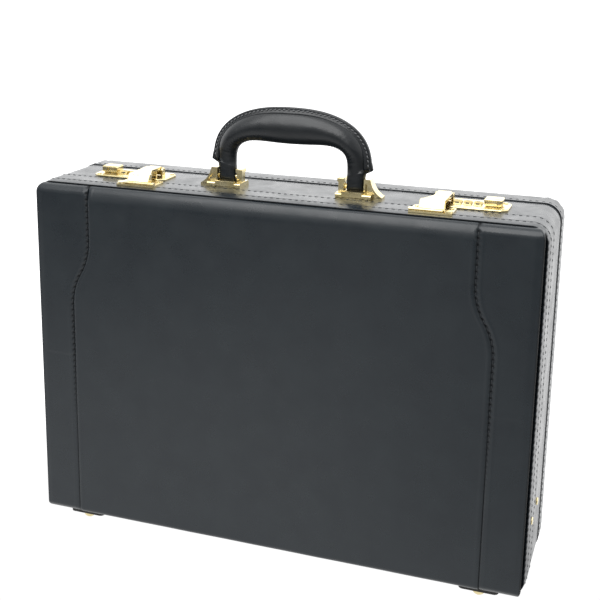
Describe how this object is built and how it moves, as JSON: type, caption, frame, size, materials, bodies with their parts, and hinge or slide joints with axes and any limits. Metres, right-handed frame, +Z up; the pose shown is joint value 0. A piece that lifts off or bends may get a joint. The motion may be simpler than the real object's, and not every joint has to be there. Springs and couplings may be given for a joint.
{
  "type": "leather attache briefcase",
  "caption": "Hard-sided black leather attache briefcase standing upright, with a padded front panel, gold combination locks, a stitched carrying handle and domed feet.",
  "frame": {"origin": "middle of the footprint, on the plane under the feet", "axes": "+X along the width to the right as seen from the front, -Y out of the padded front panel, +Z up through the handle"},
  "size_m": [0.4518, 0.118, 0.3985],
  "materials": {
    "black_rubber": "matt black rubber",
    "case_leather": "smooth black leather with a satin coat",
    "handle_leather": "smooth black leather, semi-gloss",
    "pocket_leather": "smooth black leather, satin",
    "lining": "dark woven lining",
    "foam": "open foam sheet",
    "plywood": "raw plywood",
    "gold_brass": "polished pale gold plating",
    "dial_brass": "satin gold plating",
    "rim_metal": "brushed pale gold",
    "steel": "zinc plated"
  },
  "bodies": {
    "case_body": {"body_frame": "plywood", "back_board": "plywood", "back_cover": "case_leather", "body_band": "case_leather", "back_binding": "case_leather", "body_lining": "lining", "rim_tongue": "rim_metal", "body_hinge_leaf": "gold_brass", "hinge_pin": "steel", "body_hinge_rivets": "gold_brass", "body_feet": "gold_brass", "body_foot_pads": "black_rubber", "handle_bracket_right": "gold_brass", "handle_bracket_left": "gold_brass", "handle_rivets": "gold_brass", "handle_backing_plates": "steel", "handle_pins": "gold_brass", "lock_plate_right": "gold_brass", "lock_plate_left": "gold_brass", "lock_housing_right": "steel", "lock_housing_left": "steel", "dial_spindles": "steel", "hasp_pins": "gold_brass", "lock_rivets": "gold_brass", "stay_body_rivets": "gold_brass"},
    "lid": {"lid_frame": "plywood", "lid_board": "plywood", "lid_band": "case_leather", "lid_lining": "lining", "panel_foam": "foam", "panel_leather_right": "case_leather", "panel_leather_left": "case_leather", "panel_leather_middle": "case_leather", "file_pocket": "pocket_leather", "lid_hinge_leaf": "gold_brass", "lid_hinge_rivets": "gold_brass", "lid_feet": "gold_brass", "lid_foot_pads": "black_rubber", "catch_plate_right": "gold_brass", "catch_plate_left": "gold_brass", "catch_rivets": "gold_brass", "stay_lid_rivets": "gold_brass"},
    "handle": {"handle_core": "steel", "handle_grip": "handle_leather"},
    "hasp_right_body": {"hasp_right": "gold_brass"},
    "button_right_body": {"lock_button_right": "gold_brass", "latch_slider_right": "steel"},
    "dial_right_1_body": {"dial_right_1": "dial_brass"},
    "dial_right_2_body": {"dial_right_2": "dial_brass"},
    "dial_right_3_body": {"dial_right_3": "dial_brass"},
    "stay_right_rear": {"stay_body_link_right": "gold_brass"},
    "stay_right_front": {"stay_lid_link_right": "gold_brass"},
    "hasp_left_body": {"hasp_left": "gold_brass"},
    "button_left_body": {"lock_button_left": "gold_brass", "latch_slider_left": "steel"},
    "dial_left_1_body": {"dial_left_1": "dial_brass"},
    "dial_left_2_body": {"dial_left_2": "dial_brass"},
    "dial_left_3_body": {"dial_left_3": "dial_brass"},
    "stay_left_rear": {"stay_body_link_left": "gold_brass"},
    "stay_left_front": {"stay_lid_link_left": "gold_brass"}
  },
  "joints": [
    {"name": "lid_hinge", "type": "hinge", "parent": "case_body", "child": "lid", "pos_m": [0, -0.022, 0.0068], "axis": [1, 0, 0], "range_deg": [0, 95]},
    {"name": "handle_swing", "type": "hinge", "parent": "case_body", "child": "handle", "pos_m": [0, -0.01, 0.3351], "axis": [1, 0, 0], "range_deg": [-65, 65]},
    {"name": "hasp_right_hinge", "type": "hinge", "parent": "case_body", "child": "hasp_right_body", "pos_m": [0.1302, -0.001, 0.3321], "axis": [-1, 0, 0], "range_deg": [0, 90]},
    {"name": "button_right_slide", "type": "slide", "parent": "case_body", "child": "button_right_body", "axis": [1, 0, 0], "range_m": [0, 0.003], "stiffness_N_per_m": 200, "springref_m": -0.002},
    {"name": "dial_right_1_turn", "type": "hinge", "parent": "case_body", "child": "dial_right_1_body", "pos_m": [0.144, -0.005, 0.3236], "axis": [1, 0, 0], "continuous": true},
    {"name": "dial_right_2_turn", "type": "hinge", "parent": "case_body", "child": "dial_right_2_body", "pos_m": [0.152, -0.005, 0.3236], "axis": [1, 0, 0], "continuous": true},
    {"name": "dial_right_3_turn", "type": "hinge", "parent": "case_body", "child": "dial_right_3_body", "pos_m": [0.16, -0.005, 0.3236], "axis": [1, 0, 0], "continuous": true},
    {"name": "stay_right_rear_pivot", "type": "hinge", "parent": "case_body", "child": "stay_right_rear", "pos_m": [0.2149, -0.005, 0.0745], "axis": [1, 0, 0], "range_deg": [0, 93.9]},
    {"name": "stay_right_front_pivot", "type": "hinge", "parent": "lid", "child": "stay_right_front", "pos_m": [0.2134, -0.037, 0.0725], "axis": [1, 0, 0], "range_deg": [-95.2, 0]},
    {"name": "hasp_left_hinge", "type": "hinge", "parent": "case_body", "child": "hasp_left_body", "pos_m": [-0.1302, -0.001, 0.3321], "axis": [-1, 0, 0], "range_deg": [0, 90]},
    {"name": "button_left_slide", "type": "slide", "parent": "case_body", "child": "button_left_body", "axis": [-1, 0, 0], "range_m": [0, 0.003], "stiffness_N_per_m": 200, "springref_m": -0.002},
    {"name": "dial_left_1_turn", "type": "hinge", "parent": "case_body", "child": "dial_left_1_body", "pos_m": [-0.144, -0.005, 0.3236], "axis": [1, 0, 0], "continuous": true},
    {"name": "dial_left_2_turn", "type": "hinge", "parent": "case_body", "child": "dial_left_2_body", "pos_m": [-0.152, -0.005, 0.3236], "axis": [1, 0, 0], "continuous": true},
    {"name": "dial_left_3_turn", "type": "hinge", "parent": "case_body", "child": "dial_left_3_body", "pos_m": [-0.16, -0.005, 0.3236], "axis": [1, 0, 0], "continuous": true},
    {"name": "stay_left_rear_pivot", "type": "hinge", "parent": "case_body", "child": "stay_left_rear", "pos_m": [-0.2149, -0.005, 0.0745], "axis": [1, 0, 0], "range_deg": [0, 93.9]},
    {"name": "stay_left_front_pivot", "type": "hinge", "parent": "lid", "child": "stay_left_front", "pos_m": [-0.2134, -0.037, 0.0725], "axis": [1, 0, 0], "range_deg": [-95.2, 0]}
  ],
  "couplings": [
    {"joint": "stay_right_rear_pivot", "follows": "lid_hinge", "ratio": 0.98782},
    {"joint": "stay_right_front_pivot", "follows": "lid_hinge", "ratio": -1.0011},
    {"joint": "stay_left_rear_pivot", "follows": "lid_hinge", "ratio": 0.98782},
    {"joint": "stay_left_front_pivot", "follows": "lid_hinge", "ratio": -1.0011}
  ]
}
